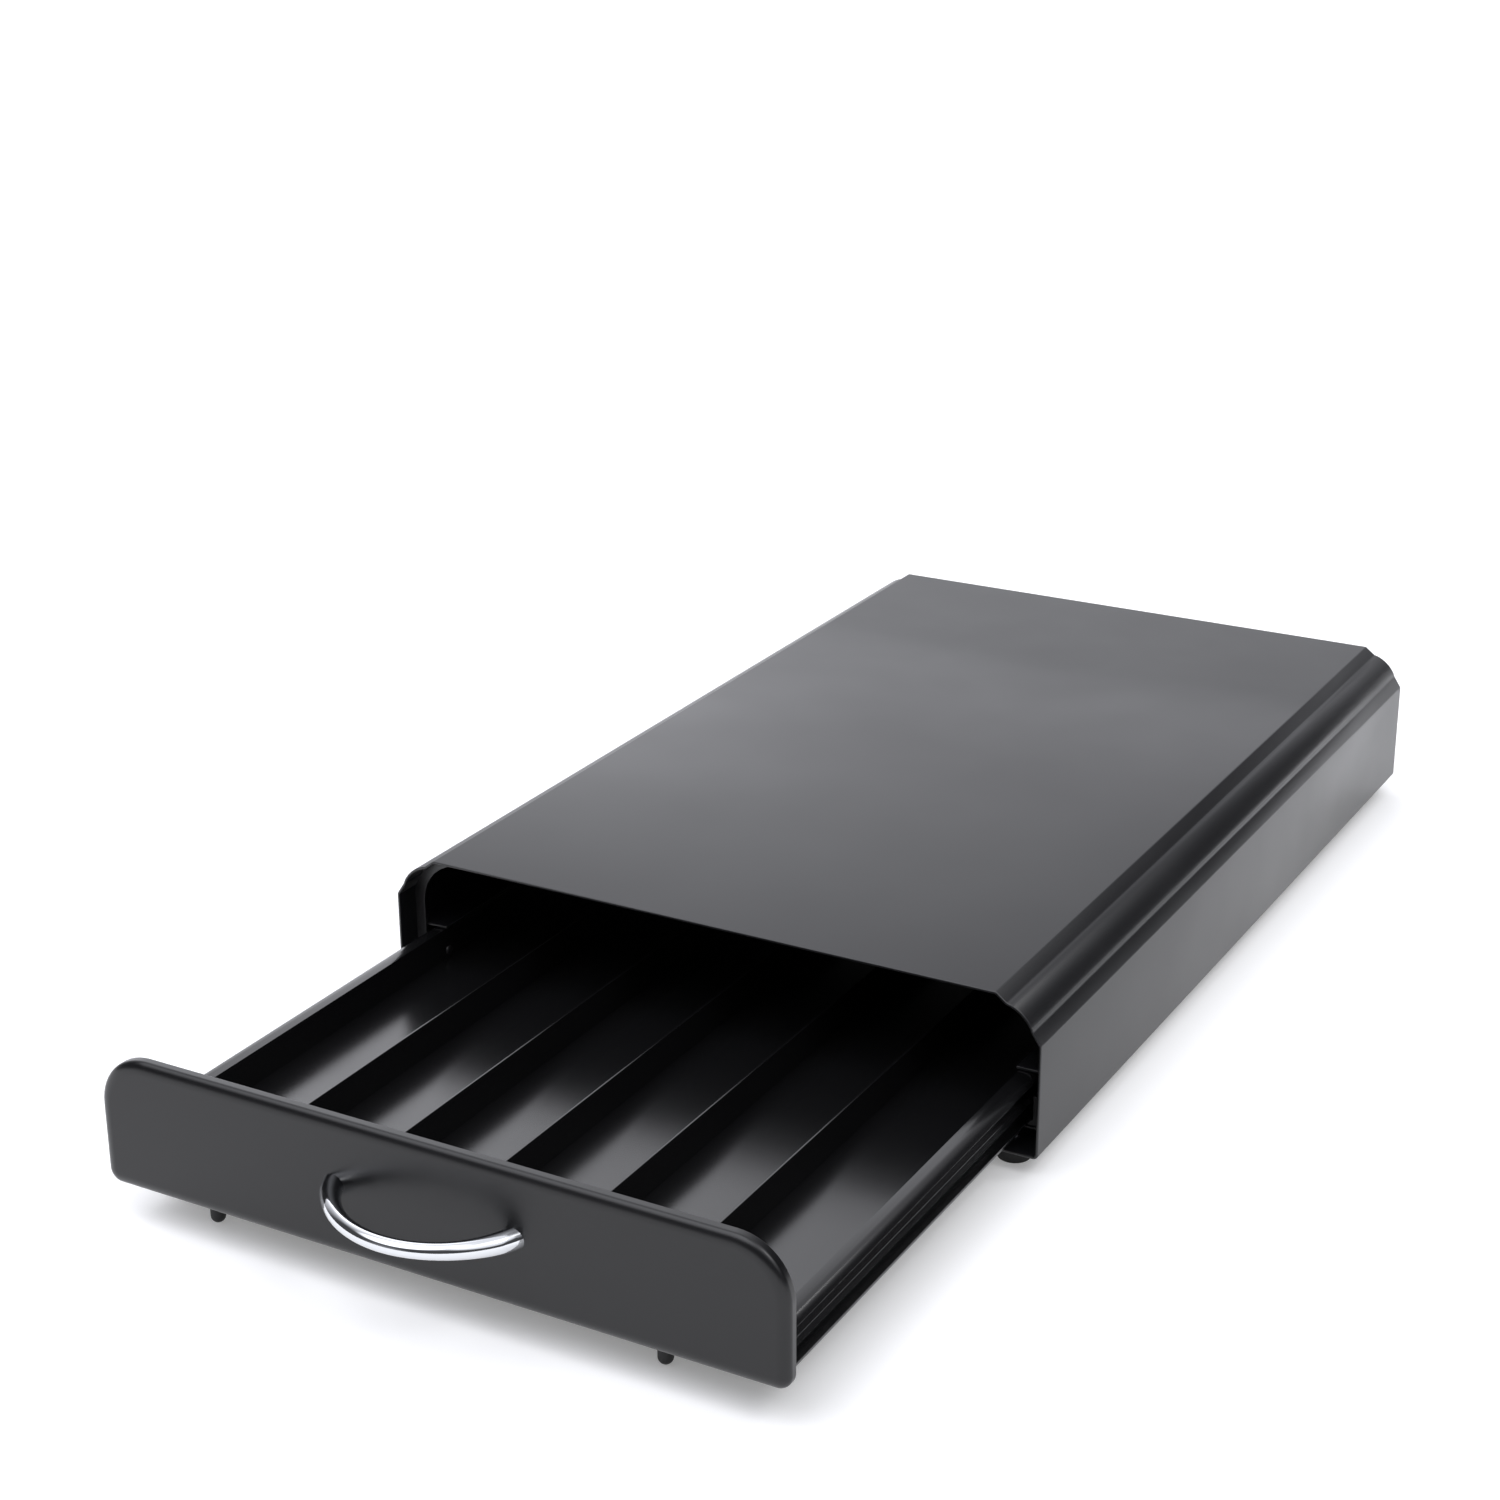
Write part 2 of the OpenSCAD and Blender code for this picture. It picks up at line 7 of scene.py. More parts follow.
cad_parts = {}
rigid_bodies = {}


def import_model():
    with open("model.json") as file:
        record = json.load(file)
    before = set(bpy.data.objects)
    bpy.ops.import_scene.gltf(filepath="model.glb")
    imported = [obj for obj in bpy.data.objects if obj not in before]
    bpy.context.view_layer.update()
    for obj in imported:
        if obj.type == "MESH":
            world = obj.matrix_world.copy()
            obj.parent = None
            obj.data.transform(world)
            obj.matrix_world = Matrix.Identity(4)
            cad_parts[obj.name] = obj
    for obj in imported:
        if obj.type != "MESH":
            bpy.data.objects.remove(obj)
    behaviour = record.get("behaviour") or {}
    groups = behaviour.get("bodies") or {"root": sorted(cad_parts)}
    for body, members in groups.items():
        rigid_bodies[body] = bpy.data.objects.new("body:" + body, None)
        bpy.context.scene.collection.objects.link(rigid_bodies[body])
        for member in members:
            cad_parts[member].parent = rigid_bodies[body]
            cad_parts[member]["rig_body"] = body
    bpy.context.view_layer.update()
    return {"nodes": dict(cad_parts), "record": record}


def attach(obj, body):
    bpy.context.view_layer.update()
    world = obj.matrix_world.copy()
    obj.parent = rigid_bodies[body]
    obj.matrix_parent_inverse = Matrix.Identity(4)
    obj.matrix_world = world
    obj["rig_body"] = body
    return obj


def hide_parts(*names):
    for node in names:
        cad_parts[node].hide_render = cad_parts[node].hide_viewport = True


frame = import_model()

mm = 0.001
nodes = frame["nodes"]
print("the packed model is loaded:", len(nodes), "nodes")

# Lengths in each piece's dictionary are in millimetres, and become metres where they are used


def linear(code):  # an sRGB hex colour as the opaque linear one that a shader takes
    channels = [int(code[i:i + 2], 16) / 255 for i in (1, 3, 5)]
    return [c / 12.92 if c <= 0.04045 else ((c + 0.055) / 1.055) ** 2.4 for c in channels] + [1.0]


def addNode(tree, kind, inputs=None, **settings):
    node = tree.nodes.new(kind)
    for name, value in settings.items():
        setattr(node, name, value)
    for socket, value in (inputs or {}).items():
        if isinstance(value, bpy.types.NodeSocket):
            tree.links.new(value, node.inputs[socket])
        else:
            node.inputs[socket].default_value = value
    return node


def emptyMaterial(name):
    material = bpy.data.materials.new(name)
    material.use_nodes = True
    material.node_tree.nodes.clear()
    return material, material.node_tree


# The patches of a noise pattern lie about its middle value, so these ends spread them over all shades
patchLow, patchHigh = 0.3, 0.7

# Polyester powder coat on steel: baked dry powder, which levels to a satin film with a faint
# orange peel about 1.4 mm across, and dulls a little where more powder lay. Its grit is finer
# than a view of the whole drawer shows, so it is drawn 0.35 mm across
housingCoat = {
    "colour": "#151517", "deepColour": "#121214", "roughness": 0.29, "patchRoughness": 0.05,
    "patch": 60, "peel": 1.4, "peelHeight": 0.004, "grit": 0.35, "gritHeight": 0.0012, "ior": 1.6,
}
# The same coat on the drawer, which levelled smoother
drawerCoat = dict(housingCoat, colour="#101011", deepColour="#0D0D0E", roughness=0.2, peel=1.1)
# The coat on the rivets, which lies duller on their small heads
rivetCoat = dict(housingCoat, colour="#131314", deepColour="#0F0F10", roughness=0.42)


def mottled(tree, look):  # colour and roughness that drift from patch to patch, and the pattern's place
    place = addNode(tree, "ShaderNodeTexCoord").outputs["Object"]
    patch = addNode(tree, "ShaderNodeTexNoise", {
        "Vector": place, "Scale": 1 / (look["patch"] * mm), "Detail": 2.0, "Roughness": 0.5})
    colour = addNode(tree, "ShaderNodeMix", {
        "Factor": patch.outputs["Fac"], "A": linear(look["colour"]), "B": linear(look["deepColour"]),
    }, data_type="RGBA")
    roughness = addNode(tree, "ShaderNodeMapRange", {
        "Value": patch.outputs["Fac"], "From Min": patchLow, "From Max": patchHigh,
        "To Min": look["roughness"], "To Max": look["roughness"] + look["patchRoughness"]})
    return place, colour.outputs["Result"], roughness.outputs["Result"]


def powderCoat(name, look):
    material, tree = emptyMaterial(name)
    place, colour, roughness = mottled(tree, look)
    peel = addNode(tree, "ShaderNodeTexNoise", {
        "Vector": place, "Scale": 1 / (look["peel"] * mm), "Detail": 1.0, "Roughness": 0.4})
    grit = addNode(tree, "ShaderNodeTexNoise", {
        "Vector": place, "Scale": 1 / (look["grit"] * mm), "Detail": 2.0, "Roughness": 0.6})
    waves = addNode(tree, "ShaderNodeBump", {
        "Height": peel.outputs["Fac"], "Strength": 1.0, "Distance": look["peelHeight"] * mm})
    bumps = addNode(tree, "ShaderNodeBump", {
        "Height": grit.outputs["Fac"], "Strength": 1.0, "Distance": look["gritHeight"] * mm,
        "Normal": waves.outputs["Normal"]})
    shader = addNode(tree, "ShaderNodeBsdfPrincipled", {
        "Base Color": colour, "Roughness": roughness, "IOR": look["ior"],
        "Normal": bumps.outputs["Normal"]})
    addNode(tree, "ShaderNodeOutputMaterial", {"Surface": shader.outputs["BSDF"]})
    return material


# Moulded ABS with a fine spark-eroded grain: satin, a little softer than the painted steel. The
# grain here and on the next two is too fine to show, so it is drawn about half a millimetre across
panelPlastic = {
    "colour": "#0D0D0F", "deepColour": "#0B0B0D", "roughness": 0.27, "patchRoughness": 0.04,
    "patch": 90, "grain": 0.5, "grainHeight": 0.003, "ior": 1.47,
}
# Cast nylon, which wears to a dull polish where steel slides on it
nylonBlock = dict(panelPlastic, colour="#1C1C1E", deepColour="#161617", roughness=0.48, patch=12,
                  grain=0.7, grainHeight=0.006)
# Moulded rubber: matt, with the powdery grain of its tool
footRubber = dict(panelPlastic, colour="#151515", deepColour="#101010", roughness=0.72, patch=6,
                  grain=0.6, grainHeight=0.012, ior=1.52)


def mouldedPlastic(name, look):
    material, tree = emptyMaterial(name)
    place, colour, roughness = mottled(tree, look)
    grain = addNode(tree, "ShaderNodeTexVoronoi", {
        "Vector": place, "Scale": 1 / (look["grain"] * mm)}, feature="SMOOTH_F1")
    bumps = addNode(tree, "ShaderNodeBump", {
        "Height": grain.outputs["Distance"], "Strength": 1.0, "Distance": look["grainHeight"] * mm})
    shader = addNode(tree, "ShaderNodeBsdfPrincipled", {
        "Base Color": colour, "Roughness": roughness, "IOR": look["ior"],
        "Normal": bumps.outputs["Normal"]})
    addNode(tree, "ShaderNodeOutputMaterial", {"Surface": shader.outputs["BSDF"]})
    return material


# Chrome plate on polished steel: a mirror with faint wipe marks
chromePlate = {
    "colour": "#DADCDF", "roughness": 0.04, "wipeRoughness": 0.04, "wipe": 9, "wipeLow": 0.4,
    "wipeHigh": 0.75, "ripple": 2.5, "rippleHeight": 0.0015,
}
# Bright zinc plate: greyer, with the drawn marks of the wire under it
zincPlate = dict(chromePlate, colour="#B4B7BB", roughness=0.24, wipeRoughness=0.14, wipe=1.2,
                 ripple=0.4, rippleHeight=0.006)


def platedSteel(name, look):
    material, tree = emptyMaterial(name)
    place = addNode(tree, "ShaderNodeTexCoord").outputs["Object"]
    wipe = addNode(tree, "ShaderNodeTexNoise", {
        "Vector": place, "Scale": 1 / (look["wipe"] * mm), "Detail": 3.0, "Roughness": 0.6})
    ripple = addNode(tree, "ShaderNodeTexNoise", {
        "Vector": place, "Scale": 1 / (look["ripple"] * mm), "Detail": 1.0, "Roughness": 0.4})
    roughness = addNode(tree, "ShaderNodeMapRange", {
        "Value": wipe.outputs["Fac"], "From Min": look["wipeLow"], "From Max": look["wipeHigh"],
        "To Min": look["roughness"], "To Max": look["roughness"] + look["wipeRoughness"]})
    bumps = addNode(tree, "ShaderNodeBump", {
        "Height": ripple.outputs["Fac"], "Strength": 1.0, "Distance": look["rippleHeight"] * mm})
    shader = addNode(tree, "ShaderNodeBsdfPrincipled", {
        "Base Color": linear(look["colour"]), "Metallic": 1.0,
        "Roughness": roughness.outputs["Result"], "Normal": bumps.outputs["Normal"]})
    addNode(tree, "ShaderNodeOutputMaterial", {"Surface": shader.outputs["BSDF"]})
    return material


finishes = {
    "housing_paint": powderCoat("satin black powder coat", housingCoat),
    "drawer_paint": powderCoat("semi-gloss black powder coat", drawerCoat),
    "panel_black": mouldedPlastic("satin black moulded ABS", panelPlastic),
    "nylon": mouldedPlastic("cast black nylon", nylonBlock),
    "rubber": mouldedPlastic("moulded black rubber", footRubber),
    "rivet_steel": powderCoat("black painted rivet steel", rivetCoat),
    "screw_steel": platedSteel("bright zinc plated steel", zincPlate),
    "chrome": platedSteel("polished chrome plate", chromePlate),
}
slotOf = {part["node"]: part["material_slot"] for part in frame["record"]["subparts"]}
for name, node in nodes.items():
    node.data.materials.clear()
    node.data.materials.append(finishes[slotOf[name]])
print("finishes:", len(finishes))


same = 0.001 * mm  # points nearer than this are one point
flatTurn = 1  # a node's faces that turn by no more than this, in degrees, are one face
sharpTurn = 30  # and its edges that turn by more are broken


def finished(shape, name, node, smooth=35):  # a shape in its node's place, with its finish and body
    mesh = bpy.data.meshes.new(name)
    shape.to_mesh(mesh)
    shape.free()
    piece = bpy.data.objects.new(name, mesh)
    bpy.context.scene.collection.objects.link(piece)
    mesh.materials.append(finishes[slotOf[node]])
    mesh.shade_smooth()
    mesh.set_sharp_from_angle(angle=math.radians(smooth))
    even = piece.modifiers.new("even shading", "WEIGHTED_NORMAL")
    even.keep_sharp = True
    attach(piece, nodes[node]["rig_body"])
    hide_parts(node)
    return piece


def bevelled(shape, edges, reach, segments=2):
    bmesh.ops.bevel(shape, geom=edges, offset=reach * mm, offset_type="OFFSET", affect="EDGES",
                    segments=segments, profile=0.5, clamp_overlap=True, material=-1)


def creases(shape, turn):  # edges where the surface turns by more than so many degrees
    return [e for e in shape.edges if e.is_manifold and e.calc_face_angle() > math.radians(turn)]


def softened(node, reach):  # a node's own shape, with its sharp edges broken
    shape = bmesh.new()
    shape.from_mesh(nodes[node].data)
    bmesh.ops.remove_doubles(shape, verts=shape.verts, dist=same)
    bmesh.ops.dissolve_limit(shape, angle_limit=math.radians(flatTurn), verts=shape.verts,
                             edges=shape.edges)
    bevelled(shape, creases(shape, sharpTurn), reach)
    finished(shape, node + "_softened", node)


arcStep = 5  # degrees in one step of a strip's round
bendTurn = 9.5  # a strip is bent where it turns by more than this, in degrees
rimTurn = 60  # and its cut edges turn by more than this


# A strip's outer face, walked across its section from one edge and then drawn out along Y.
# A pair is a straight step in x and z, and three numbers turn about a centre that far away, in degrees
def drawnStrip(start, moves, look, mirrored=False):
    shape = bmesh.new()
    tip = bmesh.ops.create_vert(shape, co=(start[0] * mm, look["front"] * mm, start[1] * mm))["vert"][0]
    for move in moves:
        if len(move) == 2:
            tip = bmesh.ops.extrude_vert_indiv(shape, verts=[tip])["verts"][0]
            bmesh.ops.translate(shape, verts=[tip], vec=(move[0] * mm, 0, move[1] * mm))
        else:
            across, up, turn = move
            steps = max(3, round(abs(turn) / arcStep))
            centre = tip.co + Vector((across * mm, 0, up * mm))
            turned = bmesh.ops.spin(shape, geom=[tip], cent=centre, axis=(0, 1, 0),
                                    angle=math.radians(turn), steps=steps)
            tip = [v for v in turned["geom_last"] if isinstance(v, bmesh.types.BMVert)][0]
    drawn = bmesh.ops.extrude_edge_only(shape, edges=shape.edges[:])
    ends = [v for v in drawn["geom"] if isinstance(v, bmesh.types.BMVert)]
    bmesh.ops.translate(shape, verts=ends, vec=(0, look["length"] * mm, 0))
    bevelled(shape, creases(shape, bendTurn), look["bend"], segments=3)
    if mirrored:
        bmesh.ops.mirror(shape, geom=shape.verts[:] + shape.edges[:] + shape.faces[:], axis="X",
                         merge_dist=same)
        bmesh.ops.remove_doubles(shape, verts=shape.verts, dist=same)
    bmesh.ops.recalc_face_normals(shape, faces=shape.faces)
    top = max(shape.faces, key=lambda face: face.calc_center_median().z)
    if top.normal.z < 0:
        bmesh.ops.reverse_faces(shape, faces=shape.faces)
    return shape


def otherHand(shape):  # the left piece of a pair
    bmesh.ops.scale(shape, vec=(-1, 1, 1), verts=shape.verts)
    bmesh.ops.reverse_faces(shape, faces=shape.faces)


def bentSheet(shape, name, node, look):  # gives a strip its gauge inwards, then breaks its cut edges
    piece = finished(shape, name, node, smooth=60)
    wall = piece.modifiers.new("gauge", "SOLIDIFY")
    wall.thickness = look["gauge"] * mm
    wall.offset = -1
    wall.use_even_offset = True
    cut = piece.modifiers.new("rim", "BEVEL")
    cut.width = look["rim"] * mm
    cut.segments = 2
    cut.limit_method = "ANGLE"
    cut.angle_limit = math.radians(rimTurn)
    cut.harden_normals = True


def solidsOf(node):  # the corner points of each separate solid in a node
    shape = bmesh.new()
    shape.from_mesh(nodes[node].data)
    bmesh.ops.remove_doubles(shape, verts=shape.verts, dist=same)
    left, found = set(shape.verts), []
    while left:
        waiting, grown = [left.pop()], []
        while waiting:
            vert = waiting.pop()
            grown.append(vert.co.copy())
            near = {e.other_vert(vert) for e in vert.link_edges} & left
            left -= near
            waiting += near
        found.append(grown)
    shape.free()
    return sorted(found, key=lambda points: [round(min(p[i] for p in points), 4) for i in range(3)])


def turned(profile, steps=28):  # a solid of revolution about Z from radii and heights
    shape = bmesh.new()
    tip = bmesh.ops.create_vert(shape, co=(profile[0][0] * mm, 0, profile[0][1] * mm))["vert"][0]
    for radius, height in profile[1:]:
        tip = bmesh.ops.extrude_vert_indiv(shape, verts=[tip])["verts"][0]
        tip.co = (radius * mm, 0, height * mm)
    bmesh.ops.spin(shape, geom=shape.verts[:] + shape.edges[:], cent=(0, 0, 0), axis=(0, 0, 1),
                   angle=2 * math.pi, steps=steps, use_merge=True)
    bmesh.ops.remove_doubles(shape, verts=shape.verts, dist=same)
    bmesh.ops.recalc_face_normals(shape, faces=shape.faces)
    return shape


def quarter(steps):  # the angles of a quarter turn
    return [math.radians(90 * i / steps) for i in range(steps + 1)]


def crown(look):  # a head's rounded outline, from its flat middle down to its widest place
    return [(look["flat"] + (look["head"] - look["flat"]) * math.sin(angle),
             look["edge"] + (look["height"] - look["edge"]) * math.cos(angle))
            for angle in quarter(look["steps"])]


def crossCut(shape, look):  # presses a cross recess into a screw's flat top
    half, arm = look["crossHalf"] * mm, look["crossArm"] * mm
    for side in (Vector((1, 0, 0)), Vector((0, 1, 0))):
        for away in (-arm, -half, half, arm):
            bmesh.ops.bisect_plane(shape, geom=shape.verts[:] + shape.edges[:] + shape.faces[:],
                                   plane_co=side * away, plane_no=side, dist=0.1 * same)
    pressed = []
    for face in shape.faces:
        middle = face.calc_center_median()
        near, far = sorted((abs(middle.x), abs(middle.y)))
        top = face.normal.z > 0.9 and abs(middle.z - look["height"] * mm) < 10 * same
        if top and near < half and far < arm:
            pressed.append(face)
    drawn = bmesh.ops.extrude_face_region(shape, geom=pressed)
    sunk = [v for v in drawn["geom"] if isinstance(v, bmesh.types.BMVert)]
    bmesh.ops.delete(shape, geom=[f for f in pressed if f.is_valid], context="FACES_ONLY")
    bmesh.ops.translate(shape, verts=sunk, vec=(0, 0, -look["crossDepth"] * mm))
    bmesh.ops.scale(shape, verts=sunk, vec=(look["crossTaper"], look["crossTaper"], 1))
    return shape


# Radii and heights. A rivet longer than longest ends inside a block, without a second head
rivet = {"head": 1.9, "height": 0.8, "edge": 0, "flat": 0, "steps": 6, "shank": 1.5, "longest": 6}
screw = {
    "head": 3.8, "height": 2.2, "edge": 0.9, "flat": 2.5, "steps": 5, "shank": 2, "point": 1, "tip": 1,
    "crossHalf": 0.42, "crossArm": 1.8, "crossDepth": 1.2, "crossTaper": 0.75,
}


def rivetShape(length, look):
    head, shank, end = crown(look), look["shank"], look["height"] - length
    if length > look["longest"]:
        return turned(head + [(shank, 0), (shank, end), (0, end)])
    seat = end + look["height"]
    tail = [(radius, seat - height) for radius, height in reversed(head)]
    return turned(head + [(shank, 0), (shank, seat)] + tail)


def screwShape(length, look):
    end = look["height"] - length
    shape = turned([(0, look["height"])] + crown(look) + [
        (look["head"], 0), (look["shank"], 0), (look["shank"], end + look["point"]),
        (look["tip"], end), (0, end)])
    return crossCut(shape, look)


# One fastener in place of each of the node's solids. headEnd is the way that its head points along the
# axis, and 0 means that the heads of both sides point to the middle
def fasteners(node, make, look, axis, headEnd):
    every = bmesh.new()
    for points in solidsOf(node):
        low = Vector([min(p[i] for p in points) for i in range(3)])
        high = Vector([max(p[i] for p in points) for i in range(3)])
        outward = headEnd or (-1 if low["XYZ".index(axis)] > 0 else 1)
        way = Vector([outward if name == axis else 0 for name in "XYZ"])
        length = abs((high - low).dot(way)) / mm
        shape = make(length, look)
        seat = (low + high) / 2 + way * (length / 2 - look["height"]) * mm
        bmesh.ops.transform(shape, verts=shape.verts, matrix=Matrix.Translation(seat)
                            @ way.to_track_quat("Z", "Y").to_matrix().to_4x4())
        spare = bpy.data.meshes.new("spare")
        shape.to_mesh(spare)
        every.from_mesh(spare)
        shape.free()
        bpy.data.meshes.remove(spare)
    finished(every, node + "_turned", node, smooth=40)


print("building blocks ready")

housing = {
    "half": 133, "top": 67, "under": 7, "front": -103.975, "length": 404, "gauge": 1, "rim": 0.3,
    "bend": 0.4, "bottomBend": 2, "flange": 25,
    "upperSlope": (4.2, -3.2), "ledge": (1.3, -0.3), "step": (0.5, -1.4), "lowerSlope": (3.2, -4.8),
    "round": (15, 70.5, 28.5),  # its radius, and the angles at which it opens and closes
}


def makeHousingShell(look):
    radius, opens, closes = look["round"]
    across = radius * (math.cos(math.radians(closes)) - math.cos(math.radians(opens)))
    down = radius * (math.sin(math.radians(opens)) - math.sin(math.radians(closes)))
    run = look["upperSlope"][0] + look["ledge"][0] + across + look["step"][0] + look["lowerSlope"][0]
    fall = -look["upperSlope"][1] - look["ledge"][1] + down - look["step"][1] - look["lowerSlope"][1]
    bend = look["bottomBend"]
    shape = drawnStrip((0, look["top"]), [
        (look["half"] - run, 0), look["upperSlope"], look["ledge"],
        (-radius * math.cos(math.radians(opens)), -radius * math.sin(math.radians(opens)), opens - closes),
        look["step"], look["lowerSlope"],
        (0, look["under"] + bend - look["top"] + fall), (-bend, 0, 90), (bend - look["flange"], 0),
    ], look, mirrored=True)
    bentSheet(shape, "bent_housing_shell", "housing_shell", look)


makeHousingShell(housing)

housingRims = {  # how far each piece's sharp edges are broken
    "back_panel": 0.2, "stop_frame": 0.2, "front_brace": 0.2, "rear_brace": 0.2,
    "left_guide_block": 0.5, "right_guide_block": 0.5,
    "front_left_foot": 0.6, "front_right_foot": 0.6, "rear_left_foot": 0.6, "rear_right_foot": 0.6,
}
for name, reach in housingRims.items():
    softened(name, reach)
fasteners("brace_rivets", rivetShape, rivet, "Z", -1)
fasteners("foot_screws", screwShape, screw, "Z", -1)

runner = {
    "lip": 119, "web": 132, "top": 34.6, "under": 11.5, "front": -92.475, "length": 377.2,
    "bend": 1.2, "gauge": 1, "rim": 0.2,
}


def makeRunner(side, look):
    width, height = look["web"] - look["lip"], look["top"] - look["under"]
    shape = drawnStrip((look["lip"], look["top"]), [(width, 0), (0, -height), (-width, 0)], look)
    if side == "left":
        otherHand(shape)
    bentSheet(shape, side + "_bent_runner", side + "_runner", look)


for side in ("left", "right"):
    makeRunner(side, runner)
print("housing: shell, back, stop frame, runners, braces and feet")

# The front panel's face while the drawer rests half open, and its depth
drawerFace, panelDepth = -275.575, 5

rail = {
    "edge": 120, "top": 33.3, "reach": 127, "roll": 4.6, "rollEnd": 30, "skirt": 0.05, "lipTop": 15.8,
    "lip": 3, "front": drawerFace + panelDepth, "length": 360, "bend": 0.03, "gauge": 1, "rim": 0.2,
    "tuck": (-5, -4.95),  # under the roll the side turns in
    "flare": ((2.05, -2.52), (0, -0.1), (1.12, -1.49), (-3.17, -1.87)),  # out over one step, and back
}


def makeRail(side, look):
    roll, ends = look["roll"], math.radians(look["rollEnd"])
    skirt = (look["skirt"] * math.sin(ends), -look["skirt"] * math.cos(ends))
    flat = look["reach"] - look["edge"] - skirt[0] - roll * math.cos(ends)
    flareFoot = (look["top"] - roll * (1 - math.sin(ends)) + skirt[1] + look["tuck"][1]
                 + sum(fall for run, fall in look["flare"]))
    shape = drawnStrip((look["edge"], look["top"]), [
        (flat, 0), (0, -roll, 90 - look["rollEnd"]), skirt, look["tuck"], *look["flare"],
        (0, look["lipTop"] - flareFoot), (look["lip"], 0),
    ], look)
    if side == "left":
        otherHand(shape)
    bentSheet(shape, side + "_rolled_rail", side + "_rail", look)


for side in ("left", "right"):
    makeRail(side, rail)

drawerRims = {
    "tray_floor": 0.15, "tray_front": 0.15, "tray_back": 0.15,
    "left_tray_side": 0.15, "right_tray_side": 0.15,
    **{name: 0.2 for name in sorted(nodes) if name.startswith("divider_")},
    "left_slide_block": 0.5, "right_slide_block": 0.5, "left_glide": 0.2, "right_glide": 0.2,
}
for name, reach in drawerRims.items():
    softened(name, reach)
fasteners("rail_rivets", rivetShape, rivet, "X", 0)
fasteners("panel_screws", screwShape, screw, "Y", 1)
fasteners("handle_screws", screwShape, screw, "Y", 1)
print("drawer: rails, tray, dividers and slide blocks")

panel = {
    "half": 129.4, "bottom": 13.45, "top": 61.9, "front": drawerFace, "depth": panelDepth,
    "topCorner": 19.5, "bottomCorner": 5, "cornerSteps": 14,
    "softAcross": 4.4, "softDeep": 2.6, "softSteps": 10, "backRound": 0.6, "backSteps": 6,
}


def makePanel(look):
    middle, height = (look["bottom"] + look["top"]) / 2, look["top"] - look["bottom"]
    shape = bmesh.new()
    bmesh.ops.create_grid(shape, x_segments=1, y_segments=1, size=1,
                          matrix=Matrix.Rotation(math.pi / 2, 4, "X"))
    bmesh.ops.scale(shape, vec=(look["half"] * mm, 1, height / 2 * mm), verts=shape.verts)
    bmesh.ops.translate(shape, vec=(0, (look["front"] + look["softDeep"]) * mm, middle * mm),
                        verts=shape.verts)
    for radius, above in ((look["topCorner"], True), (look["bottomCorner"], False)):
        corners = [v for v in shape.verts if (v.co.z > middle * mm) == above
                   and abs(v.co.x) > look["half"] * mm - same]
        bmesh.ops.bevel(shape, geom=corners, offset=radius * mm, offset_type="OFFSET", affect="VERTICES",
                        segments=look["cornerSteps"], profile=0.5, clamp_overlap=True, material=-1)
    bmesh.ops.remove_doubles(shape, verts=shape.verts, dist=same)
    drawn = bmesh.ops.extrude_face_region(shape, geom=shape.faces[:])
    moved = [v for v in drawn["geom"] if isinstance(v, bmesh.types.BMVert)]
    bmesh.ops.translate(shape, verts=moved, vec=(0, (look["depth"] - look["softDeep"]) * mm, 0))
    bmesh.ops.recalc_face_normals(shape, faces=shape.faces)
    back = (look["front"] + look["depth"]) * mm
    outline = [e for e in shape.edges if all(abs(v.co.y - back) < same for v in e.verts)]
    bevelled(shape, outline, look["backRound"], segments=look["backSteps"])
    face = min(shape.faces, key=lambda f: f.calc_center_median().y)
    turns = quarter(look["softSteps"])
    for before, after in zip(turns, turns[1:]):  # the face's margin falls away as a quarter of an ellipse
        bmesh.ops.inset_region(
            shape, faces=[face], use_even_offset=True,
            thickness=look["softAcross"] * (math.cos(before) - math.cos(after)) * mm,
            depth=look["softDeep"] * (math.sin(after) - math.sin(before)) * mm)
    finished(shape, "soft_edged_front_panel", "front_panel", smooth=40)


makePanel(panel)

handle = {
    "face": drawerFace, "middle": 38.5, "halfSpan": 33.8, "reach": 21.4, "bar": 2.68, "foot": 3.85,
    "flare": 4, "rings": 144, "around": 64,
    "overrun": 8,  # degrees of bow past each foot, which are cut off at the panel's face
}


def makeHandle(look):
    half, reach = look["halfSpan"], look["reach"]
    bow = (half ** 2 + reach ** 2) / (2 * reach)
    opens = math.acos((bow - reach) / bow) + math.radians(look["overrun"])
    centre = Vector((0, (look["face"] + bow - reach) * mm, look["middle"] * mm))
    shape = bmesh.new()
    bmesh.ops.create_circle(shape, segments=look["around"], radius=look["bar"] * mm, cap_ends=False)
    bmesh.ops.rotate(shape, verts=shape.verts, cent=(0, 0, 0), matrix=Matrix.Rotation(math.pi / 2, 3, "Y"))
    bmesh.ops.translate(shape, verts=shape.verts, vec=centre + Vector((0, -bow * mm, 0)))
    bmesh.ops.rotate(shape, verts=shape.verts, cent=centre, matrix=Matrix.Rotation(-opens, 3, "Z"))
    bmesh.ops.spin(shape, geom=shape.verts[:] + shape.edges[:], cent=centre, axis=(0, 0, 1),
                   angle=2 * opens, steps=look["rings"])
    for vert in shape.verts:  # the bar swells into its feet
        out = vert.co - centre
        swell = min(1, abs(out.x) / (half * mm)) ** look["flare"]
        core = centre + Vector((out.x, out.y, 0)).normalized() * bow * mm
        vert.co = core + (vert.co - core) * (1 + (look["foot"] / look["bar"] - 1) * swell)
    bmesh.ops.bisect_plane(shape, geom=shape.verts[:] + shape.edges[:] + shape.faces[:],
                           plane_co=(0, look["face"] * mm, 0), plane_no=(0, 1, 0), clear_outer=True)
    bmesh.ops.holes_fill(shape, edges=[e for e in shape.edges if e.is_boundary], sides=0)
    bmesh.ops.recalc_face_normals(shape, faces=shape.faces)
    finished(shape, "chromed_bow_handle", "handle", smooth=50)


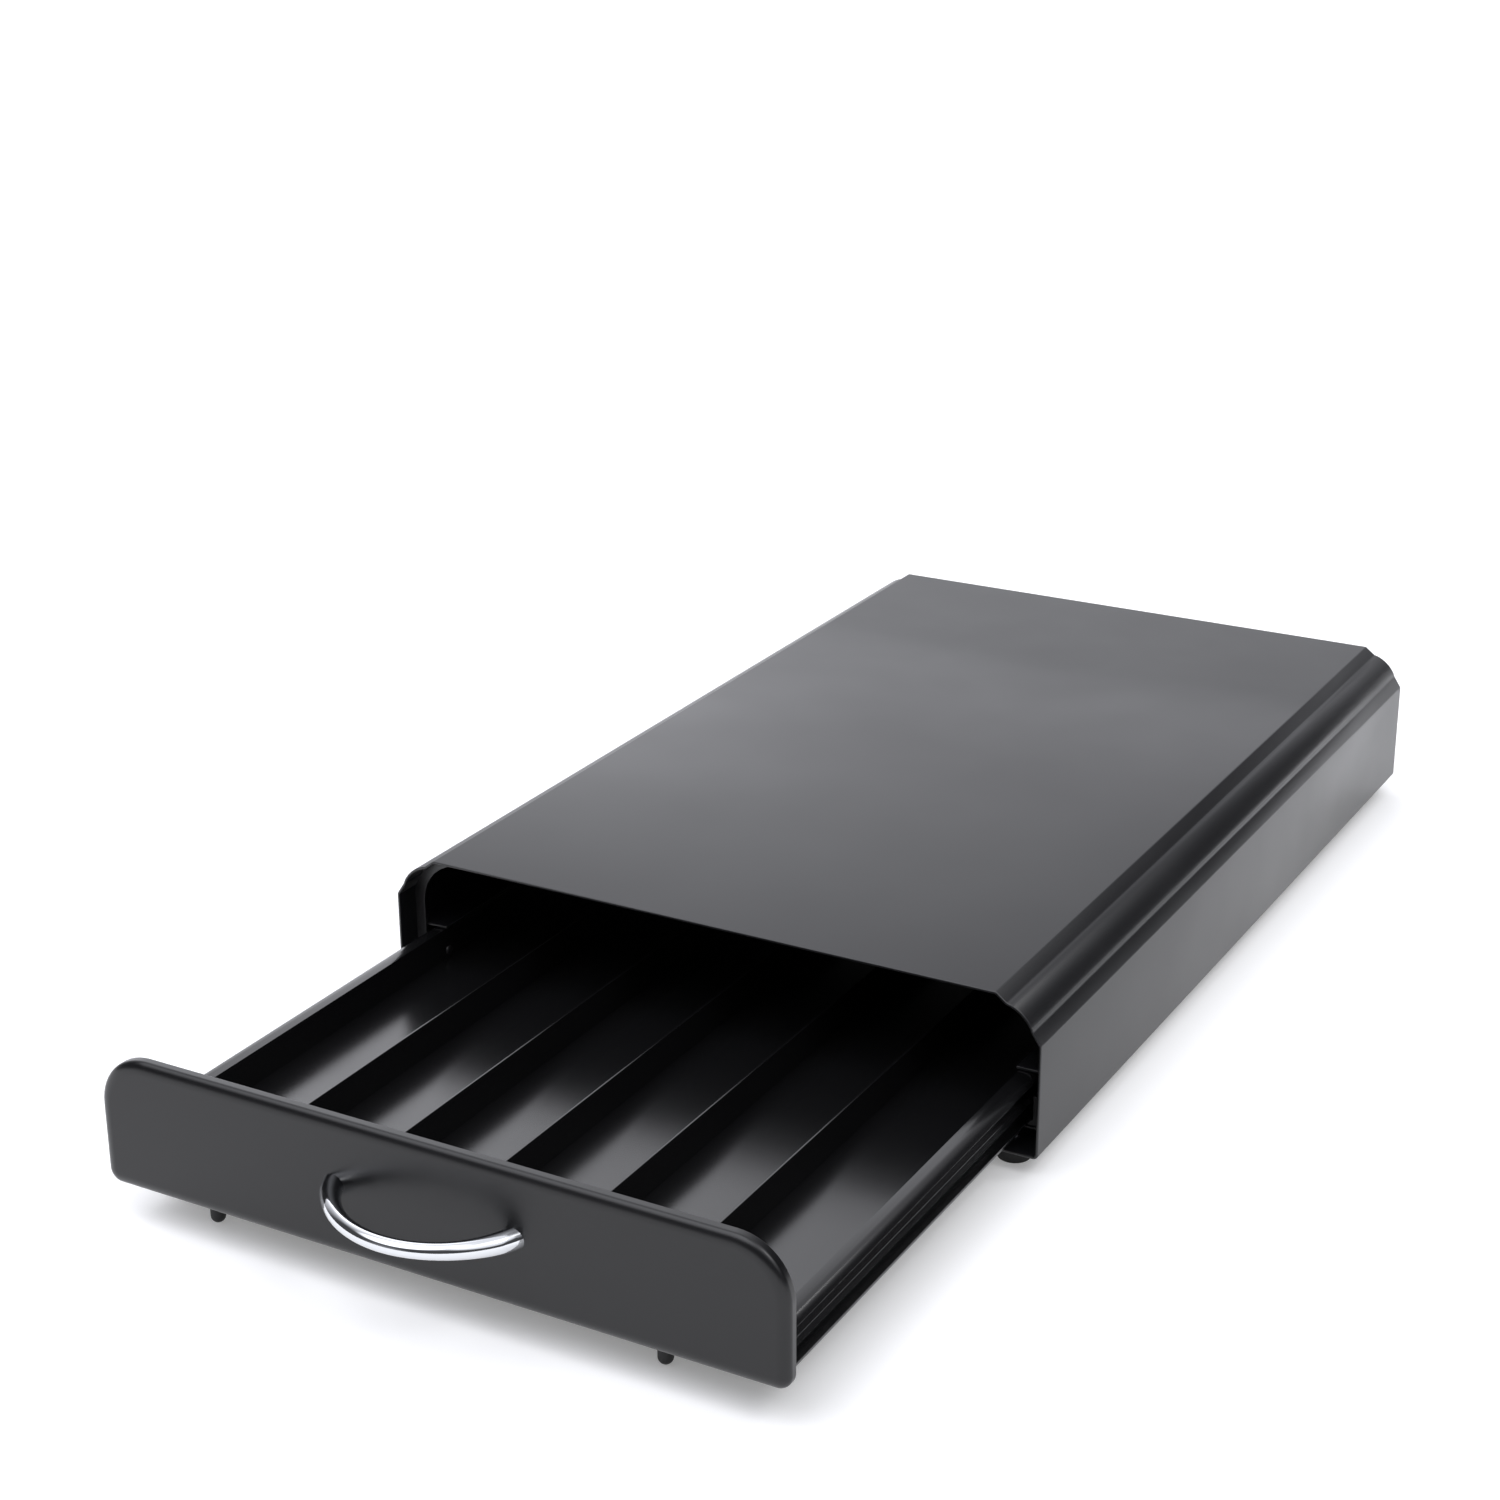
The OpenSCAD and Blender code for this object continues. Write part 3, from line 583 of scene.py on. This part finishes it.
makeHandle(handle)
print("drawer front: panel and handle")

# From here on, lengths are in metres, apart from the paper's fibres. They are drawn coarser than
# real ones, which wouldn't show, and the paper also glows a little of its own
paper = {
    "half": 9.0, "colour": "#EDEDED", "glow": 0.25, "roughness": 0.9, "specular": 0.1,
    "fibre": 1.1, "fibreHeight": 0.02,
}
studio = {
    "colour": "#F3F4FA", "backdrop": 1.3,  # the strength of the backdrop, which only the camera sees
    "horizon": 0.08, "overhead": 1.2, "rise": (0.5, 1.0),
    "glows": (  # strength, the way to it, and where its edge and its full strength lie
        (0.95, (-0.65, 0.7, 0.3), (0.57, 0.98)),
        (1.1, (-0.73, 0.57, 0.37), (0.91, 0.99)),
        (0.6, (-0.45, 0.62, 0.64), (0.9, 1.0)),
        (2.5, (-0.28, -0.42, 0.863), (0.83, 0.96)),
        (1.1, (0.62, -0.3, 0.72), (0.86, 0.95)),
        (0.2, (-0.4, -0.917, 0), (0.9, 1.0)),
    ),
    "softbox": {"watts": 7.0, "side": 0.65, "place": (1.5, -0.6, 1.9), "aim": (0.3, 0.0, 0)},
    "pool": {"watts": 37.0, "cone": 24, "lens": 0.2, "place": (1.0, 0.5, 1.7), "aim": (0.38, 0.12, 0)},
}


def makeFloor(look):
    shape = bmesh.new()
    bmesh.ops.create_grid(shape, x_segments=2, y_segments=2, size=look["half"])
    mesh = bpy.data.meshes.new("pale_floor")
    shape.to_mesh(mesh)
    shape.free()
    material, tree = emptyMaterial("white paper sweep")
    place = addNode(tree, "ShaderNodeTexCoord").outputs["Object"]
    fibre = addNode(tree, "ShaderNodeTexNoise", {
        "Vector": place, "Scale": 1 / (look["fibre"] * mm), "Detail": 2.0})
    bumps = addNode(tree, "ShaderNodeBump", {
        "Height": fibre.outputs["Fac"], "Distance": look["fibreHeight"] * mm})
    shader = addNode(tree, "ShaderNodeBsdfPrincipled", {
        "Base Color": linear(look["colour"]), "Roughness": look["roughness"],
        "Specular IOR Level": look["specular"], "Emission Color": linear("#FFFFFF"),
        "Emission Strength": look["glow"], "Normal": bumps.outputs["Normal"]})
    addNode(tree, "ShaderNodeOutputMaterial", {"Surface": shader.outputs["BSDF"]})
    mesh.materials.append(material)
    floor = bpy.data.objects.new("pale_floor", mesh)
    bpy.context.scene.collection.objects.link(floor)


def hungLamp(name, kind, look):
    lamp = bpy.data.lights.new(name, kind)
    lamp.energy = look["watts"]
    light = bpy.data.objects.new(name, lamp)
    light.location = look["place"]
    light.rotation_euler = (Vector(look["aim"]) - light.location).to_track_quat("-Z", "Y").to_euler()
    bpy.context.scene.collection.objects.link(light)
    return lamp


def lightStudio(look):
    world = bpy.data.worlds.new("soft studio")
    bpy.context.scene.world = world
    world.use_nodes = True
    tree = world.node_tree
    tree.nodes.clear()
    way = addNode(tree, "ShaderNodeTexCoord").outputs["Generated"]
    height = addNode(tree, "ShaderNodeSeparateXYZ", {"Vector": way}).outputs["Z"]
    above = addNode(tree, "ShaderNodeMapRange", {
        "Value": height, "From Min": look["rise"][0], "From Max": look["rise"][1],
        "To Min": look["horizon"], "To Max": look["overhead"]}, interpolation_type="SMOOTHSTEP")
    light = above.outputs["Result"]
    for strength, towards, (edge, full) in look["glows"]:
        facing = addNode(tree, "ShaderNodeVectorMath", {0: way, 1: towards}, operation="DOT_PRODUCT")
        glow = addNode(tree, "ShaderNodeMapRange", {
            "Value": facing.outputs["Value"], "From Min": edge, "From Max": full,
            "To Min": 0.0, "To Max": strength}, interpolation_type="SMOOTHSTEP")
        light = addNode(tree, "ShaderNodeMath", {0: light, 1: glow.outputs["Result"]}).outputs[0]
    seen = addNode(tree, "ShaderNodeLightPath").outputs["Is Camera Ray"]
    strength = addNode(tree, "ShaderNodeMix", {"Factor": seen, "A": light, "B": look["backdrop"]})
    sky = addNode(tree, "ShaderNodeBackground", {
        "Color": linear(look["colour"]), "Strength": strength.outputs["Result"]})
    addNode(tree, "ShaderNodeOutputWorld", {"Surface": sky.outputs["Background"]})
    softbox = hungLamp("key softbox", "AREA", look["softbox"])
    softbox.shape = "SQUARE"
    softbox.size = look["softbox"]["side"]
    pool = hungLamp("pool of light", "SPOT", look["pool"])
    pool.spot_size = math.radians(look["pool"]["cone"])
    pool.spot_blend = 1.0
    pool.shadow_soft_size = look["pool"]["lens"]


viewpoint = {
    "place": (0.458761, -0.881451, 0.483214), "yaw": 29.3734, "pitch": 21.2061, "roll": -0.3544,
    "focal": 2786.67, "frame": 1500,  # in pixels
    "sensor": 36, "nearest": 0.05, "farthest": 60,
}


def setCamera(look):
    lens = bpy.data.cameras.new("camera")
    lens.sensor_width = look["sensor"]
    lens.lens = look["focal"] * look["sensor"] / look["frame"]
    lens.clip_start = look["nearest"]
    lens.clip_end = look["farthest"]
    camera = bpy.data.objects.new("camera", lens)
    yaw, pitch, roll = (math.radians(look[turn]) for turn in ("yaw", "pitch", "roll"))
    camera.matrix_world = (Matrix.Translation(look["place"]) @ Matrix.Rotation(yaw, 4, "Z")
                           @ Matrix.Rotation(math.pi / 2 - pitch, 4, "X") @ Matrix.Rotation(roll, 4, "Z"))
    bpy.context.scene.collection.objects.link(camera)
    bpy.context.scene.camera = camera


makeFloor(paper)
lightStudio(studio)
setCamera(viewpoint)
bpy.context.scene.view_settings.view_transform = "Standard"
print("stage, light and camera are set")
